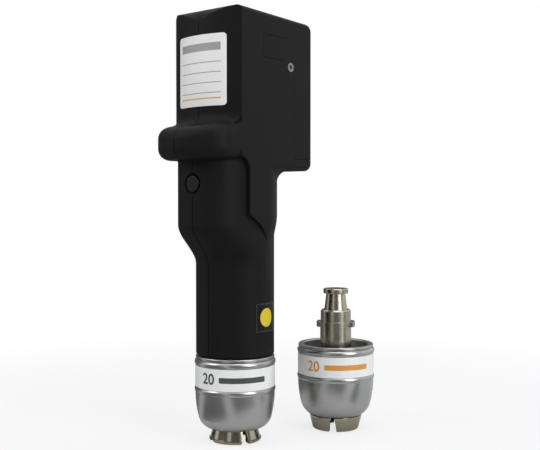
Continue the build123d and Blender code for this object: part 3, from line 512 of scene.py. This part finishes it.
def stagePiece(name, bm, material):
    mesh = bpy.data.meshes.new(name)
    bm.to_mesh(mesh)
    bm.free()
    mesh.materials.append(material)
    obj = bpy.data.objects.new(name, mesh)
    bpy.context.scene.collection.objects.link(obj)
    return obj


def paleFloor():
    # White to the camera away from the object; near it, the shadow stays
    values = {"half": 3.0, "level": -0.0004, "centre": (0.015, 0.03), "near": 0.16, "far": 0.5,
              "glowNear": 0.78, "glowFar": 1.0, "colour": (0.80, 0.80, 0.80),
              "dull": (0.78, 0.78, 0.78)}
    s = newSheet("paleFloor")
    fine = s.noise(30.0, 3.0)
    far = around(s, values["centre"]).step(values["near"], values["far"])
    seen = s.add("LightPath", None, None, "Is Camera Ray")
    colour = s.mix(fine * 0.1, values["colour"], values["dull"])
    lit = s.add("BsdfPrincipled", None, {"Base Color": colour, "Roughness": 0.75,
                                         "Specular IOR Level": 0.2})
    glow = s.add("Emission", None, {"Color": (1.0, 1.0, 1.0, 1.0), "Strength": 1.0})
    whiteness = seen * (values["glowNear"] + far * (values["glowFar"] - values["glowNear"]))
    shown = s.add("MixShader", None, {0: whiteness, 1: lit, 2: glow})
    s.add("OutputMaterial", None, {"Surface": shown})
    bm = bmesh.new()
    bmesh.ops.create_grid(bm, x_segments=1, y_segments=1, size=values["half"],
                          matrix=Matrix.Translation((0.0, 0.0, values["level"])))
    stagePiece("floor", bm, s.owner)


def whiteStudio():
    # Soft light on the object, white behind it and in its reflections
    values = {"soft": 0.42, "white": 1.0}
    world = bpy.data.worlds.new("studio")
    bpy.context.scene.world = world
    s = Sheet(world)
    white = (1.0, 1.0, 1.0, 1.0)
    seen = [s.add("LightPath", None, None, f"Is {kind} Ray")
            for kind in ("Camera", "Glossy", "Transmission")]
    soft = s.add("Background", None, {"Color": white, "Strength": values["soft"]})
    bright = s.add("Background", None, {"Color": white, "Strength": values["white"]})
    shown = s.add("MixShader", None, {0: seen[0].most(seen[1]).most(seen[2]), 1: soft, 2: bright})
    s.add("OutputWorld", None, {"Surface": shown})


def softLamps():
    lamps = {
        "key": {"place": (-0.55, -0.85, 0.75), "aim": (0.0, 0.0, 0.13), "size": (0.5, 0.7),
                "power": 3.8, "colour": (1.0, 1.0, 1.0)},
        "fill": {"place": (1.0, -0.1, 0.5), "aim": (0.0, 0.0, 0.12), "size": (0.5, 0.8),
                 "power": 5.6, "colour": (1.0, 1.0, 1.0)},
        "top": {"place": (0.1, 0.0, 1.1), "aim": (0.0, 0.0, 0.13), "size": (0.8, 0.8),
                "power": 4.0, "colour": (0.88, 0.93, 1.0)},
    }
    for name, lamp in lamps.items():
        light = bpy.data.lights.new(name, "AREA")
        light.shape = "RECTANGLE"
        light.size, light.size_y = lamp["size"]
        light.energy = lamp["power"]
        light.color = lamp["colour"]
        obj = bpy.data.objects.new(name, light)
        bpy.context.scene.collection.objects.link(obj)
        obj.location = lamp["place"]
        towards = Vector(lamp["aim"]) - Vector(lamp["place"])
        obj.rotation_euler = towards.to_track_quat("-Z", "Y").to_euler()


def darkScreen():
    # Grey cloth panels round the set, seen only in glossy surfaces, with gaps for the light
    values = {"centre": (0.015, 0.03, 0.0), "inner": 0.075, "radius": 1.25, "low": 0.001,
              "high": 1.0, "steps": 10, "cloth": (0.19, 0.19, 0.19), "pale": (0.25, 0.25, 0.25),
              "panels": ((-130, -66), (-46, 4), (20, 80), (100, 116), (190, 226))}
    profile = ((values["inner"], values["low"]), (values["radius"], values["low"]),
               (values["radius"], values["high"]))
    bm = bmesh.new()
    for start, stop in values["panels"]:
        turn = math.radians(start)
        outward = Vector((math.sin(turn), -math.cos(turn), 0.0))
        chain = [bm.verts.new(Vector(values["centre"]) + outward * reach
                              + Vector((0.0, 0.0, height))) for reach, height in profile]
        edges = [bm.edges.new(pair) for pair in zip(chain, chain[1:])]
        bmesh.ops.spin(bm, geom=chain + edges, cent=values["centre"], axis=(0.0, 0.0, 1.0),
                       angle=math.radians(stop - start), steps=values["steps"])
    s = newSheet("darkCloth")
    cloth = s.finish({"Base Color": s.mix(s.noise(40.0, 3.0), values["cloth"], values["pale"]),
                      "Roughness": 0.9, "Specular IOR Level": 0.0})
    obj = stagePiece("darkScreen", bm, cloth)
    obj.visible_camera = False
    obj.visible_shadow = False
    obj.visible_diffuse = False
    obj.visible_transmission = False


def placeCamera():
    view = {"from": (0.372, -0.421, 0.1464), "azimuth": 41.5, "right": 2.26, "down": 1.27,
            "lens": 60.0, "sensor": 36.0, "near": 0.01}
    camera = bpy.data.cameras.new("camera")
    camera.lens = view["lens"]
    camera.sensor_width = view["sensor"]
    camera.clip_start = view["near"]
    obj = bpy.data.objects.new("camera", camera)
    bpy.context.scene.collection.objects.link(obj)
    obj.location = view["from"]
    obj.rotation_euler = (math.radians(90.0 - view["down"]), 0.0,
                          math.radians(view["azimuth"] - view["right"]))
    bpy.context.scene.camera = obj
    bpy.context.scene.view_settings.view_transform = "Standard"


paleFloor()
whiteStudio()
softLamps()
darkScreen()
placeCamera()
print("floor, lamps and camera placed")
